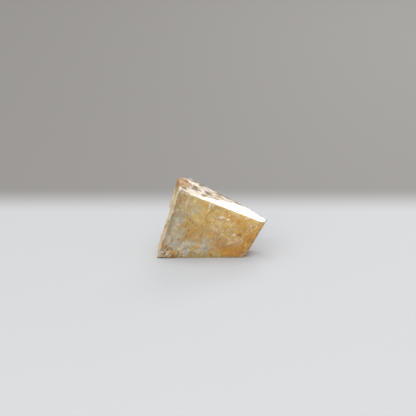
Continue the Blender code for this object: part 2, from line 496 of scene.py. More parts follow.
PLATE_SIDES = 4
PLATE_THICK = 0.02
PLATE_TURN = 0.35  # how far its corners wander round it
PLATE_REACH = (0.55, 1.0)  # how far out they lie, as a share of its size
PLATE_STRETCH = (0.45, 1.0)  # its width, as a share of its length
NEEDLE_TAPER = 0.6  # a needle's far end is this much of its near end
GRAIN_CORNER = (0.5, 1.2)  # how far out a grain's corners lie, as a share of its size
MAP_RING = 0.32  # radius of a face in its grain's square of the map
TETRA_FACES = [(0, 1, 2), (0, 3, 1), (1, 3, 2), (2, 3, 0)]
TETRA_CORNERS = np.array([(1, 1, 1), (-1, -1, 1), (-1, 1, -1), (1, -1, -1)]) / math.sqrt(3)


def prism_faces(sides):
    """Faces of a prism between two rings of points."""
    ring = range(sides)
    walls = [(k, (k + 1) % sides, sides + (k + 1) % sides, sides + k) for k in ring]
    return [tuple(reversed(ring))] + [tuple(sides + k for k in ring)] + walls


def map_grains(mesh, grains, sizes):
    """Gives each grain a square of its own in the texture map."""
    across = math.ceil(math.sqrt(grains))
    square = np.arange(grains)
    middles = np.stack([square % across + 0.5, square // across + 0.5], axis=1)
    turns = np.concatenate([np.arange(size) / size for size in sizes]) * math.tau
    ring = MAP_RING * np.stack([np.cos(turns), np.sin(turns)], axis=1)
    spots = (middles[:, None, :] + ring[None, :, :]) / across
    layer = mesh.uv_layers.new(name="OFBake")
    layer.data.foreach_set("uv", spots.astype(np.float32).ravel())


def add_grains(name, points, topology, tints, material):
    """One mesh of many like grains. points holds each one's points."""
    grains, per_grain, _ = points.shape
    corners = np.concatenate([np.array(face) for face in topology])
    sizes = np.array([len(face) for face in topology])
    first = np.arange(grains) * per_grain
    loops = (first[:, None] + corners[None, :]).ravel()
    totals = np.tile(sizes, grains)
    starts = np.concatenate([[0], np.cumsum(totals)[:-1]])
    mesh = bpy.data.meshes.new(name)
    mesh.vertices.add(grains * per_grain)
    mesh.vertices.foreach_set("co", (points * MM).astype(np.float32).ravel())
    mesh.loops.add(len(loops))
    mesh.loops.foreach_set("vertex_index", loops.astype(np.int32))
    mesh.polygons.add(len(totals))
    mesh.polygons.foreach_set("loop_start", starts.astype(np.int32))
    mesh.update(calc_edges=True)
    mesh.shade_flat()
    set_attribute(mesh, "tint", np.repeat(tints, per_grain))
    map_grains(mesh, grains, sizes)
    add_piece(name, mesh, material)


def add_plates(inside, name, points, tints, margin, material):
    """Plates, without those that would come within margin of the surface."""
    points, tints = inside.keep(points, np.clip(tints, 0, 1), margin)
    add_grains(name, points, prism_faces(PLATE_SIDES), tints, material)


def tilted(way, spread, count):
    """Directions round one way. spread is how far they turn from it."""
    return unit(way + rng.normal(0, spread, (count, 3)))


def frames_round(axes):
    """Two directions square to each axis and to each other, turned at random."""
    side = unit(np.cross(axes, unit(rng.normal(size=axes.shape))))
    return side, np.cross(axes, side)


def along(ways, shares):
    """Each grain's points, so far along each of its ways."""
    return sum(way[:, None, :] * share[..., None] for way, share in zip(ways, shares))


def needle_points(starts, ends, radii, sides):
    """Tapering needles: a ring of points round each start and each end."""
    radii = rng.uniform(*radii, len(starts))
    side, other = frames_round(unit(ends - starts))
    turns = math.tau * np.arange(sides) / sides
    ring = along((side, other), (np.cos(turns)[None], np.sin(turns)[None]))
    thick = ring * radii[:, None, None]
    near, far = starts[:, None, :] + thick, ends[:, None, :] + NEEDLE_TAPER * thick
    return np.concatenate([near, far], axis=1)


def plate_points(places, normals, sizes, thickness=PLATE_THICK):
    """Thin irregular plates: a ring of points below and above each place."""
    sizes = rng.uniform(*sizes, len(places))
    side, other = frames_round(normals)
    turns = math.tau * np.arange(PLATE_SIDES) / PLATE_SIDES
    turns = turns[None, :] + rng.uniform(-PLATE_TURN, PLATE_TURN, (len(places), PLATE_SIDES))
    reach = sizes[:, None] * rng.uniform(*PLATE_REACH, (len(places), PLATE_SIDES))
    stretch = rng.uniform(*PLATE_STRETCH, (len(places), 1))
    ring = along((side, other), (np.cos(turns) * reach, np.sin(turns) * reach * stretch))
    lift = normals[:, None, :] * thickness / 2
    return np.concatenate([places[:, None, :] + ring - lift, places[:, None, :] + ring + lift], 1)


def grain_points(places, sizes):
    """Uneven four-cornered grains."""
    sizes = rng.uniform(*sizes, len(places))
    axis = unit(rng.normal(size=places.shape))
    side, other = frames_round(axis)
    corners = TETRA_CORNERS[None] * rng.uniform(*GRAIN_CORNER, (len(places), 4, 1))
    turned = along((side, other, axis), np.moveaxis(corners, -1, 0))
    return places[:, None, :] + turned * sizes[:, None, None]


# ---- where the inclusions lie

HEART = Vector((-3.0, -1.5, 8.0)) * MM  # from here nearly all of the surface is in sight
NEAR_SURFACE = 2.5  # depths up to this are measured to the surface itself
SHORTENINGS = 5  # how often a needle that comes out is shortened
SHORTENED = 0.62  # and to how much of its length each time
SHORTEST = 0.3  # the shortest needle that is kept


class Inside:
    """Tells how deep places lie in the finished stone."""

    def __init__(self, body):
        self.tree = BVHTree.FromObject(body, bpy.context.evaluated_depsgraph_get())

    def depth(self, places):
        """Depth below the surface, negative outside."""
        result = (DISTANCES - places @ NORMALS.T).min(axis=1)
        for index in np.flatnonzero((result > 0.0) & (result < NEAR_SURFACE)):
            place = Vector(places[index] * MM)
            distance = self.tree.find_nearest(place)[3]
            to_heart = HEART - place
            wall = self.tree.ray_cast(place, to_heart, to_heart.length)[0]
            result[index] = distance / MM if wall is None else -distance / MM
        return result

    def random(self, count, margin):
        """Random places at least margin below the surface."""
        found = np.zeros((0, 3))
        while len(found) < count:
            places = rng.uniform(LOW, HIGH, size=(count * 2, 3))
            found = np.concatenate([found, places[self.depth(places) > margin]])
        return found[:count]

    def keep(self, points, tints, margin):
        """Drops the grains that would come within margin of the surface."""
        middles = points.mean(axis=1)
        reach = np.linalg.norm(points - middles[:, None, :], axis=2).max(axis=1)
        kept = self.depth(middles) > margin + reach
        return points[kept], tints[kept]

    def clip(self, starts, ends, margin):
        """Shortens needles until they end inside. Gives which are kept, and the ends."""
        for _ in range(SHORTENINGS):
            out = self.depth(ends) < margin
            ends[out] = starts[out] + SHORTENED * (ends[out] - starts[out])
        kept = self.depth(ends) > margin
        kept &= np.linalg.norm(ends - starts, axis=1) > SHORTEST
        return kept, ends


# Where the stone is stained or clear: middle, reach along each axis, strength.
STAINED = [
    ((7.0, -5.5, 1.6), (5.0, 6.0, 2.4), 2.2),
    ((11.0, -6.5, 5.0), (1.8, 4.0, 1.8), 2.0),
    ((-7.4, -8.2, 9.6), (1.0, 1.2, 3.2), 0.7),
    ((-12.0, -8.4, 1.2), (3.0, 1.5, 1.2), 0.8),
    ((12.5, -3.0, 8.0), (2.0, 3.0, 3.0), 1.0),
    ((9.0, -6.0, 8.0), (7.0, 6.0, 7.0), 0.3),
    ((-2.0, 5.0, 5.0), (6.0, 3.0, 2.5), 0.7),
    ((-13.0, 2.0, 4.0), (2.0, 4.0, 3.0), 0.5),
]
CLEAR = [
    ((-9.7, -8.0, 11.9), (1.8, 3.0, 1.6), 1.0),
    ((-13.6, -8.2, 6.9), (1.4, 3.0, 1.4), 1.0),
    ((-7.0, -7.0, 2.4), (3.2, 4.5, 1.6), 0.9),
    ((-1.6, -7.0, 4.4), (2.2, 4.0, 2.4), 0.8),
    ((-7.0, -8.0, 13.6), (1.4, 3.0, 1.0), 0.8),
    ((-11.6, -7.6, 8.6), (2.6, 3.0, 2.4), 0.6),
    ((2.4, -7.6, 4.2), (1.4, 3.0, 1.0), 0.6),
    ((-6.0, 4.0, 12.0), (4.0, 4.0, 4.0), 0.8),
    ((5.0, -1.0, 9.0), (3.0, 3.0, 3.0), 0.5),
]

STAIN_SHADE = 0.55  # how much stain darkens a tint
MOST_STAIN = 1.2  # stain counts up to this
TINT_DRIFT = 0.22  # how far tints drift from clump to clump
CLEARED = 0.85  # share of the grains missing in the middle of a clear pocket


def zone_strength(places, zones):
    total = np.zeros(len(places))
    for middle, reach, strength in zones:
        away = ((places - np.array(middle)) / np.array(reach)) ** 2
        total += strength * np.exp(-away.sum(axis=1))
    return total


def thinned(places, lump=3.0):
    """Keeps fewer of the places in clear pockets and between clumps."""
    share = smooth((noise_at(places, lump, shift=5.5) + 0.42) / 0.75)
    share *= 1.0 - CLEARED * zone_strength(places, CLEAR)
    return places[rng.uniform(size=len(places)) < share]


def tints_at(places, usual, spread):
    """Where each grain stands on its mineral's scale of colours."""
    stain = np.minimum(zone_strength(places, STAINED), MOST_STAIN)
    drift = TINT_DRIFT * noise_at(places, size=2.2, shift=8.3)
    tints = usual - STAIN_SHADE * stain + drift + rng.normal(0, spread, len(places))
    return np.clip(tints, 0, 1)


def lumpy_tints(places, usual, swing, size, shift, spread):
    """Tints that drift from lump to lump."""
    lumps = noise_at(places, size, shift)
    return usual + swing * lumps + rng.normal(0, spread, len(places))


# ---- rutile

NEEDLE_AXES = np.array([(0.28, 0.30, 0.91), (0.90, 0.12, 0.40), (0.62, -0.55, -0.56)])
ROOT_DEPTH = 0.3  # a lone needle starts at least this deep
BUNDLE_DEPTH = 0.5  # and a bundle's middle
STRAND_DEPTH = 0.22  # and each needle in it
TIP_DEPTH = 0.2  # every needle ends at least this deep
BUNDLE_SPREAD = 0.15  # how far a bundle turns from the rutile's ways
BUNDLE_SIDES = 3  # sides of a needle in a bundle
# Lone needles: count, lengths, radii, how far they turn from those ways, sides.
NEEDLES = {
    "needles_fine": (3200, (0.8, 3.6), (0.010, 0.025), 0.30, 3),
    "needles_long": (1500, (3.0, 14.0), (0.015, 0.06), 0.12, 5),
    "needles_stout": (110, (4.0, 14.0), (0.05, 0.10), 0.10, 6),
}
# Bundles: count, needles in each, widths, how far they fan out, lengths, radii.
BUNDLES = {
    "needle_sprays": (50, (14, 50), (0.15, 0.7), (0.03, 0.15), (2.0, 7.5), (0.015, 0.05)),
    "needle_tufts": (500, (4, 10), (0.05, 0.16), (0.03, 0.2), (0.6, 1.9), (0.02, 0.05)),
}


def needle_ways(count, spread):
    """Directions near one of the rutile's three."""
    axes = NEEDLE_AXES[rng.integers(0, len(NEEDLE_AXES), count)]
    turned = axes * rng.choice([-1.0, 1.0], (count, 1))
    return tilted(turned, spread, count)


def needles(inside, name, material, count, lengths, radii, spread, sides):
    """Needles that lie singly."""
    starts = thinned(inside.random(count, ROOT_DEPTH))
    ends = starts + needle_ways(len(starts), spread) * rng.uniform(*lengths, (len(starts), 1))
    kept, ends = inside.clip(starts, ends, TIP_DEPTH)
    starts, ends = starts[kept], ends[kept]
    points = needle_points(starts, ends, radii, sides)
    tints = tints_at((starts + ends) / 2, usual=0.5, spread=0.18)
    add_grains(name, points, prism_faces(sides), tints, material)


def bundles(inside, name, material, count, many, widths, fans, lengths, radii):
    """Bundles of needles, some of which fan out."""
    roots = thinned(inside.random(count, BUNDLE_DEPTH))
    axes = needle_ways(len(roots), BUNDLE_SPREAD)
    numbers = rng.integers(*many, len(roots))
    which = np.repeat(np.arange(len(roots)), numbers)
    total = len(which)
    width = rng.uniform(*widths, len(roots))[which, None]
    fan = rng.uniform(*fans, len(roots))[which, None]
    length = rng.uniform(*lengths, len(roots))[which, None] * rng.uniform(0.4, 1.0, (total, 1))
    starts = roots[which] + rng.normal(0, 1, (total, 3)) * width
    ends = starts + unit(axes[which] + rng.normal(0, 1, (total, 3)) * fan) * length
    tints = tints_at(roots, usual=0.5, spread=0.25)[which] + rng.normal(0, 0.06, total)
    kept = inside.depth(starts) > STRAND_DEPTH
    starts, ends, tints = starts[kept], ends[kept], tints[kept]
    kept, ends = inside.clip(starts, ends, TIP_DEPTH)
    starts, ends, tints = starts[kept], ends[kept], np.clip(tints[kept], 0, 1)
    points = needle_points(starts, ends, radii, BUNDLE_SIDES)
    add_grains(name, points, prism_faces(BUNDLE_SIDES), tints, material)


def dust(inside, material, count, sizes, margin):
    """Fine grains, which give the stone its golden haze."""
    places = thinned(inside.random(count, margin), lump=4.0)
    points = grain_points(places, sizes)
    tints = tints_at(places, usual=0.6, spread=0.15)
    add_grains("golden_dust", points, TETRA_FACES, tints, material)


def crumbs(inside, material, count, many, reach, sizes, margin):
    """Lumps of small plates, each lump of one colour."""
    middles = thinned(inside.random(count, margin), lump=1.6)
    which = np.repeat(np.arange(len(middles)), rng.integers(*many, len(middles)))
    spread = rng.uniform(*reach, (len(middles), 1)) * rng.uniform(0.3, 1.0, (len(middles), 3))
    places = middles[which] + rng.normal(0, 1, (len(which), 3)) * spread[which]
    normals = unit(rng.normal(size=places.shape))
    points = plate_points(places, normals, sizes)
    tints = tints_at(middles, usual=0.52, spread=0.36)[which] + rng.normal(0, 0.04, len(which))
    add_plates(inside, "crumbs", points, tints, 0.05, material)


# ---- stain and fractures

FLECK_THICK = 0.03
FLECK_FACING = np.array([0.0, -0.8, 0.3])  # most flecks turn a little to this way


def flecks(inside, material, crowding, sizes):
    """Small plates in the stained zones. crowding is how many a cubic mm gets."""
    places = []
    for middle, reach, strength in STAINED:
        count = int(crowding * strength * np.prod(reach))
        places.append(np.array(middle) + rng.normal(0, 0.7, (count, 3)) * np.array(reach))
    places = np.concatenate(places)
    crowded = 0.75 + noise_at(places, size=1.1, shift=2.2)
    places = places[rng.uniform(size=len(places)) < crowded]
    normals = unit(rng.normal(size=places.shape) + FLECK_FACING)
    points = plate_points(places, normals, sizes, FLECK_THICK)
    tints = lumpy_tints(places, 0.55, 0.6, size=1.4, shift=6.6, spread=0.12)
    add_plates(inside, "iron_flecks", points, tints, 0.25, material)


# Healed fractures: middle, the way they face, reach across and up, plates.
VEILS = [
    ((6.8, -7.5, 5.3), (0.15, -0.95, 0.25), (3.0, 2.2), 300),
    ((12.0, -6.8, 9.0), (0.7, -0.7, 0.1), (2.4, 2.2), 200),
    ((-11.0, -6.0, 8.0), (-0.3, -0.8, 0.5), (4.0, 4.0), 250),
    ((-2.0, -1.0, 9.0), (0.35, -0.85, 0.4), (10.0, 7.0), 900),
    ((4.0, 1.0, 6.5), (0.8, 0.5, 0.2), (6.0, 5.0), 500),
    ((-8.0, 3.0, 9.0), (-0.6, 0.7, 0.3), (6.0, 7.0), 500),
    ((-4.0, 1.0, 16.0), (0.4, 0.1, 0.9), (6.0, 6.0), 600),
    ((0.0, 3.0, 3.0), (0.1, 0.3, 0.95), (9.0, 5.0), 400),
]
VEIL_DRAWN = 3  # places drawn for each plate: those in gaps are dropped
VEIL_APART = 7.0  # sets the veils' noises apart
VEIL_CURVE = 4.0  # a veil's radius of curvature, in its reaches
VEIL_THICK = 0.012
VEIL_PLATES = (0.04, 0.22)


def veils(inside, material):
    """Films of small plates on curved, patchy fractures that have healed."""
    points, tints = [], []
    for index, (middle, way, reach, count) in enumerate(VEILS):
        normal = unit(np.array(way, float))
        across = unit(np.cross([0.0, 0.0, 1.0], normal))
        up = np.cross(normal, across)
        flat = rng.normal(0, 0.5, (count * VEIL_DRAWN, 2)) * np.array(reach)
        spots = np.column_stack([flat, np.full(len(flat), index * VEIL_APART)])
        kept = np.flatnonzero(noise_at(spots, size=1.0) > 0.0)[:count]
        flat, spots = flat[kept], spots[kept]
        bend = (flat ** 2).sum(axis=1) / (2.0 * VEIL_CURVE * max(reach))
        bend = bend + 0.4 * noise_at(spots, size=2.4, shift=1.0)
        places = np.array(middle) + across * flat[:, :1] + up * flat[:, 1:]
        places = places + normal * bend[:, None]
        tilts = tilted(normal, 0.12, len(places))
        points.append(plate_points(places, tilts, VEIL_PLATES, VEIL_THICK))
        tints.append(tints_at(places, usual=0.85, spread=0.12))
    points, tints = np.concatenate(points), np.concatenate(tints)
    add_plates(inside, "healed_veils", points, tints, 0.1, material)


# ---- marks and films

# Marks behind the large facet: place along X and Z, turn (degrees), length and width.
WHITE_MARKS = [
    (-0.55, 16.1, 68, 1.5, 0.55), (0.5, 16.1, 68, 1.3, 0.5), (3.2, 12.4, 4, 1.6, 0.65),
    (5.0, 11.8, 8, 1.1, 0.4), (6.8, 7.1, 30, 0.8, 0.6), (10.4, 12.0, 4, 1.3, 0.3),
    (-15.3, 1.9, 10, 1.2, 0.55), (-0.85, 14.5, 80, 0.6, 0.34),
]
CREAM_MARKS = [
    (-16.0, 0.8, 20, 1.3, 1.0), (-14.9, 0.7, 0, 1.2, 0.5), (-0.9, 12.9, 80, 0.5, 0.36),
    (0.2, 11.5, 40, 0.8, 0.45), (1.4, 12.4, 30, 0.6, 0.4), (5.4, 12.9, 60, 0.5, 0.3),
    (1.7, 8.65, 60, 1.3, 0.8), (3.2, 7.1, 20, 0.8, 0.5), (2.0, 6.2, 35, 1.3, 0.45),
    (5.7, 5.8, 50, 1.2, 0.35), (7.6, 5.4, -38, 1.3, 0.32), (6.0, 4.7, 15, 1.9, 0.36),
    (4.7, 4.2, 0, 1.2, 0.32), (7.8, 3.8, 30, 1.2, 0.3), (9.2, 4.7, 35, 1.3, 0.3),
    (12.1, 9.3, 98, 2.4, 0.32), (11.2, 8.9, 100, 1.6, 0.22), (13.7, 9.6, 75, 1.0, 0.35),
    (-9.7, 8.95, 0, 2.3, 0.24), (-12.0, 7.4, 30, 1.7, 0.26), (-12.5, 6.3, 28, 2.0, 0.28),
    (-10.6, 6.3, 28, 1.6, 0.22), (-8.0, 12.6, 30, 0.8, 0.3), (-11.0, 13.0, 40, 0.9, 0.35),
    (-6.2, 13.2, 50, 0.8, 0.4), (-8.6, 14.8, 40, 0.7, 0.3),
]
RUST_MARKS = [
    (-6.9, 16.1, 60, 0.8, 0.55), (-7.9, 17.9, 60, 0.5, 0.4), (-11.6, 13.9, 50, 0.6, 0.5),
    (-11.4, 15.6, 70, 0.5, 0.3), (-10.6, 17.5, 50, 0.9, 0.5), (-6.5, 11.8, 60, 0.8, 0.4),
    (-7.4, 10.7, 60, 1.2, 0.5), (-7.9, 9.7, 70, 0.9, 0.55), (-7.0, 8.5, 65, 1.0, 0.6),
    (-7.7, 6.7, 50, 0.8, 0.5), (-6.6, 6.9, 60, 0.7, 0.4), (-5.7, 11.0, 70, 0.9, 0.4),
    (-5.0, 9.9, 50, 0.6, 0.5), (-3.2, 6.9, 75, 1.3, 0.45), (9.5, 3.0, 40, 1.6, 0.6),
    (5.6, 0.9, 10, 2.2, 0.7), (8.6, 1.4, 20, 2.4, 0.9), (-14.7, 4.2, -68, 1.9, 0.5),
    (-15.2, 4.9, -40, 0.6, 0.4), (-12.1, 0.6, 0, 2.0, 0.4), (-5.4, 3.1, 60, 0.6, 0.4),
    (-12.3, 5.5, 40, 0.6, 0.4), (-10.3, 5.7, 30, 0.8, 0.4), (-9.1, 10.3, 60, 0.6, 0.5),
    (8.4, 7.1, 20, 1.1, 0.8), (8.0, 4.7, 20, 0.5, 0.35), (1.5, 3.4, 40, 0.5, 0.35),
]
AMBER_MARKS = [
    (4.9, 9.6, 10, 1.2, 0.8), (11.4, 5.4, 50, 2.2, 1.2), (10.4, 4.0, 50, 1.8, 0.9),
    (12.4, 5.1, 60, 1.2, 0.6), (2.6, 1.2, 70, 1.6, 0.9), (4.3, 1.6, 30, 2.4, 1.3),
    (7.2, 0.9, 5, 3.0, 0.9), (8.8, 2.6, 40, 2.4, 0.8), (-3.0, 7.2, 75, 2.2, 0.6),
    (-4.6, 3.6, 58, 3.4, 0.35), (-6.3, 2.6, 58, 3.0, 0.3), (-2.6, 10.6, 62, 3.2, 0.3),
    (-4.2, 8.6, 60, 2.6, 0.3), (-9.4, 2.2, 55, 2.6, 0.3), (-6.2, 7.9, 60, 3.0, 0.3),
    (-8.2, 6.0, 60, 2.4, 0.3), (-0.4, 7.4, 66, 2.2, 0.3), (1.0, 10.8, 70, 2.0, 0.3),
    (14.2, 8.6, 62, 1.2, 0.3), (13.0, 6.6, 60, 1.4, 0.3), (-11.7, 1.8, 15, 2.4, 0.9),
    (-0.8, 1.2, 86, 2.0, 0.55),
]
# Grey marks: air films, partly painted light, the pale floor seen through clear quartz.
GREY_MARKS = [
    (-7.5, 13.4, -20, 1.1, 0.5), (-9.7, 11.9, 30, 1.1, 0.9), (-13.8, 6.9, 50, 1.1, 0.7),
    (-5.8, 14.6, 40, 1.0, 0.5), (-12.0, 12.4, 50, 1.2, 0.4), (-7.5, 2.0, 5, 2.8, 1.0),
    (-2.1, 2.9, 20, 1.8, 1.2), (-2.1, 5.3, 88, 1.9, 0.22), (-1.5, 5.3, 88, 1.9, 0.22),
    (-0.9, 5.2, 88, 1.7, 0.22), (2.9, 4.1, 20, 0.9, 0.5), (-10.9, 4.3, 30, 1.2, 0.5),
]
# Thin films laid out like the marks: grey ones, then whiter and iron-stained ones.
# The grey films are air films and partly painted light: the pale floor seen through clear quartz.
GREY_HAZE = [
    (-10.3, 12.2, 60, 6.4, 4.2), (-7.6, 16.4, 50, 4.4, 3.4), (-11.5, 4.6, 30, 4.6, 3.0),
    (-13.7, 7.0, 62, 4.4, 2.2), (-8.3, 2.8, 10, 7.0, 4.2), (-1.9, 3.9, 70, 4.6, 3.6),
    (-4.9, 14.6, 50, 3.6, 2.4), (-9.5, 7.6, 40, 5.0, 3.0),
]
PALE_HAZE = [
    (-8.5, 3.2, 10, 7.0, 4.6), (-12.0, 5.8, 58, 5.6, 3.6), (-3.0, 3.4, 60, 4.2, 3.6),
    (-10.3, 10.4, 60, 5.0, 3.0), (1.4, 9.0, 40, 4.0, 3.4), (-14.7, 7.6, 76, 17.0, 1.5),
    (-15.6, 3.6, 76, 8.0, 1.3), (-16.0, 1.2, 40, 2.6, 1.6), (-14.3, 1.1, 5, 5.0, 2.2),
]
AMBER_HAZE = [
    (10.0, 10.4, 80, 5.0, 6.0), (8.0, 2.2, 12, 6.4, 3.4), (11.2, 5.4, 58, 5.6, 3.4),
    (5.2, 1.9, 8, 5.0, 2.8), (13.3, 8.2, 60, 3.6, 1.6), (9.0, 7.3, 30, 4.4, 3.0),
    (7.4, 11.4, -22, 7.0, 2.8),
]
MARK_FACING = np.array((0.0, -0.65, 0.75))  # they lean back, into the light
STREAK_WAY = unit(np.array((0.5, 0.0, 0.87)))  # the films' streaks run this way
# Marks: places, mineral, slot, tints, plate sizes, how dense and tilted, greatest depth.
MARKS = {
    "white_marks": (WHITE_MARKS, "open_crack", "quartz", (0.9, 1.0), (0.10, 0.25), 14.0, 0.12, 0.3),
    "cream_marks": (CREAM_MARKS, "open_crack", "quartz", (0.2, 0.75), (0.08, 0.20), 7.5, 0.14, 0.35),
    "rust_marks": (RUST_MARKS, "iron_stain", "iron_stain", (0.05, 0.38), (0.06, 0.18), 5.0, 0.1, 0.4),
    "amber_marks": (
        AMBER_MARKS, "amber_stain", "iron_stain", (0.32, 0.72), (0.06, 0.18), 4.4, 0.1, 0.5
    ),
    "grey_marks": (GREY_MARKS, "air_film", "quartz", (0.2, 0.9), (0.08, 0.18), 2.0, 0.1, 0.5),
}
# Films: the same, all tilted alike.
HAZES = {
    "grey_haze": (GREY_HAZE, "air_film", "quartz", (0.7, 1.0), (0.06, 0.18), 2.8, 2.2),
    "pale_haze": (PALE_HAZE, "healed_film", "quartz", (0.45, 0.9), (0.07, 0.22), 4.0, 0.9),
    "amber_haze": (AMBER_HAZE, "amber_stain", "iron_stain", (0.35, 0.85), (0.07, 0.20), 3.8, 2.2),
}


def patch_spots(x, z, turn, along, aside, depth):
    """Places at a depth behind the large facet, laid out along and across a patch."""
    turned = math.radians(turn)
    across = x + along * math.cos(turned) - aside * math.sin(turned)
    up = z + along * math.sin(turned) + aside * math.cos(turned)
    normal = NORMALS[FRONT]
    back = (DISTANCES[FRONT] - depth - normal[0] * across - normal[2] * up) / normal[1]
    return np.stack([across, back, up], axis=-1)


def hazes(inside, name, places, material, slot, tint_range, sizes, cover, depth):
    """Ragged films of small plates behind the large facet, down to a depth."""
    spots, tints = [], []
    for x, z, turn, length, width in places:
        count = int(cover * length * width / (sizes[1] ** 2))
        along, aside = rng.normal(0, 0.3, (2, count)) * np.array([[length], [width]])
        down = rng.uniform(0.15, depth, count)
        spots.append(patch_spots(x, z, turn, along, aside, down))
        tints.append(rng.uniform(*tint_range) + rng.normal(0, 0.12, count))
    spots, tints = np.concatenate(spots), np.concatenate(tints)
    streaks = streaky_noise(spots, STREAK_WAY, size=0.5, stretch=5.0, shift=5.0)
    kept = streaks + 0.6 * noise_at(spots, size=1.3, shift=2.0) > -0.05
    spots, tints = spots[kept], tints[kept] + 0.3 * streaks[kept]
    points = plate_points(spots, tilted(MARK_FACING, 0.6, len(spots)), sizes)
    add_plates(inside, name, points, tints, 0.06, material)


def marks(inside, name, places, material, slot, tint_range, sizes, cover, tilt, depth):
    """Patches of small plates behind the large facet, down to a depth."""
    points, tints = [], []
    for x, z, turn, length, width in places:
        count = max(6, int(cover * length * width / (sizes[1] ** 2)))
        spread = rng.normal(0, 0.45, (count, 2)) * np.array([length, width]) / 2
        down = rng.uniform(0.12, depth, count)
        spots = patch_spots(x, z, turn, spread[:, 0], spread[:, 1], down)
        points.append(plate_points(spots, tilted(MARK_FACING, tilt, count), sizes))
        level = rng.uniform(*tint_range)
        tints.append(level + rng.normal(0, 0.08, count))
    points, tints = np.concatenate(points), np.concatenate(tints)
    add_plates(inside, name, points, tints, 0.04, material)


# ---- bruised quartz and seam

BRUISE_TILT = 0.5  # how far its plates turn from the facet
BRUISE_THICK = 0.015
SKIN_BLOOM_BACK = 3.0  # the skin's bruised quartz ends here, along Y
SEAM_SPAN = (-8.0, 14.5)  # the seam's stretch of the edge, along X
SEAM_DEPTH = (0.14, 0.34)  # how far it lies below the large facet
SEAM_TOP_SHARE = 0.7  # and below the top, as a share of that


def below_facet(facet, axis, count, down):
    """Random places below a facet, moved there along one axis."""
    places = rng.uniform(LOW, HIGH, size=(count, 3))
    normal = NORMALS[facet]
    level = DISTANCES[facet] - rng.uniform(*down, count)
    others = [other for other in range(3) if other != axis]
    places[:, axis] = (level - places[:, others] @ normal[others]) / normal[axis]
    return places


def bruise_points(places, facet, sizes):
    normals = tilted(NORMALS[facet], BRUISE_TILT, len(places))
    return plate_points(places, normals, sizes, BRUISE_THICK)


def top_cloud(inside, material, count, sizes):
    """Pale broken quartz below the top's leaning facet."""
    places = below_facet(LEAN, 2, count, down=(0.15, 1.2))
    places = places[behind_crease(places) > -0.3]
    places = places[noise_at(places, size=1.5, shift=4.4) > -0.33]
    points = bruise_points(places, LEAN, sizes)
    tints = lumpy_tints(places, 0.84, 0.45, size=0.9, shift=1.7, spread=0.06)
    add_plates(inside, "top_cloud", points, tints, 0.04, material)


def skin_bloom(inside, material, count, sizes):
    """Pale bruised quartz just below the rough left side."""
    places = below_facet(LEFT, 0, count, down=(0.2, 1.5))
    whole = noise_at(places, size=1.2, shift=4.9) > -0.4
    places = places[whole & (places[:, 1] < SKIN_BLOOM_BACK)]
    points = bruise_points(places, LEFT, sizes)
    tints = lumpy_tints(places, 0.7, 0.4, size=1.0, shift=2.7, spread=0.08)
    add_plates(inside, "skin_bloom", points, tints, 0.03, material)


def edge_seam(inside, material, count, sizes):
    """Iron stain along the large facet's top edge."""
    across = rng.uniform(*SEAM_SPAN, count)
    line = np.column_stack([across, across * 0, across * 0])
    across = across[noise_at(line, size=1.5, shift=2.9) > -0.2]
    pair = NORMALS[[FRONT, TOP]]
    down = rng.uniform(*SEAM_DEPTH, (len(across), 2)) * np.array([1.0, SEAM_TOP_SHARE])
    levels = DISTANCES[[FRONT, TOP]] - down - across[:, None] * pair[:, 0]
    places = np.column_stack([across, levels @ np.linalg.inv(pair[:, 1:]).T])
    points = plate_points(places, tilted(-NORMALS[FRONT], 0.6, len(places)), sizes)
    tints = 0.5 + rng.normal(0, 0.2, len(places))
    add_plates(inside, "edge_seam", points, tints, 0.01, material)


# ---- the rind

RIND_FROM = 0.4  # it covers ground with more than this share of skin
RIND_WORN = 0.78  # and is gone where it is more worn than this
RIND_PROUD = 0.012  # it stands this far out of the skin
RIND_DEPTH = 0.05  # and reaches this far into it
GROWTH_WAY = unit(np.array((0.0, 0.97, -0.24)))  # the skin's growth steps run this way
STAIN_START = -6.5  # along Y, it is more and more stained from here
STAIN_BLEND = 4.0


def rind_shell(body):
    """A thin closed shell on the skin, and its points' places."""
    bm = bmesh.new()
    bm.from_mesh(body.data)
    centres, normals = face_arrays(bm)
    skin = skin_share(centres, normals) > RIND_FROM
    kept = skin & (layered_noise(centres, RIND_WEAR) < RIND_WORN)
    for layer in list(bm.verts.layers.float):
        bm.verts.layers.float.remove(layer)
    outward = {vert: vert.normal.copy() for vert in bm.verts}
    bare = [face for face, keep in zip(bm.faces, kept) if not keep]
    bmesh.ops.delete(bm, geom=bare, context="FACES")
    for vert in bm.verts:
        vert.co += outward[vert] * RIND_PROUD * MM
        vert.normal = outward[vert]
    shell = bmesh.ops.extrude_face_region(bm, geom=bm.faces[:], use_keep_orig=True)
    for vert in (item for item in shell["geom"] if isinstance(item, bmesh.types.BMVert)):
        vert.co -= vert.normal * (RIND_PROUD + RIND_DEPTH) * MM
    bmesh.ops.recalc_face_normals(bm, faces=bm.faces[:])
    places = np.clip(point_places(bm), LOW, HIGH)
    move_points(bm, places)
    return bm, places


def rind_tints(places):
    """Streaks along the growth steps, more stained away from the large facet."""
    steps = streaky_noise(places, GROWTH_WAY, size=0.9, stretch=4.0, shift=7.7)
    bands = streaky_noise(places, GROWTH_WAY, size=2.0, stretch=3.0, shift=14.0)
    back = smooth((places[:, 1] - STAIN_START) / STAIN_BLEND)
    at_corner = np.linalg.norm((places - SKIN_CORNER) / SKIN_CORNER_REACH, axis=1) < 1.3
    tints = 0.60 + (0.15 + 0.25 * back) * steps + 0.3 * noise_at(places, size=0.5, shift=1.7)
    tints -= 0.40 * at_corner + 0.5 * zone_strength(places, STAINED)
    tints -= 0.5 * back * smooth(0.15 + 1.3 * (bands + 0.3 * steps))
    return np.clip(tints, 0, 1)


def rind(body, material):
    """Weathered rind on the stone's natural skin."""
    bm, places = rind_shell(body)
    mesh = mesh_from(bm, "skin_rind")
    set_attribute(mesh, "tint", rind_tints(places))
    add_piece("skin_rind", mesh, material)


# ---- the studio

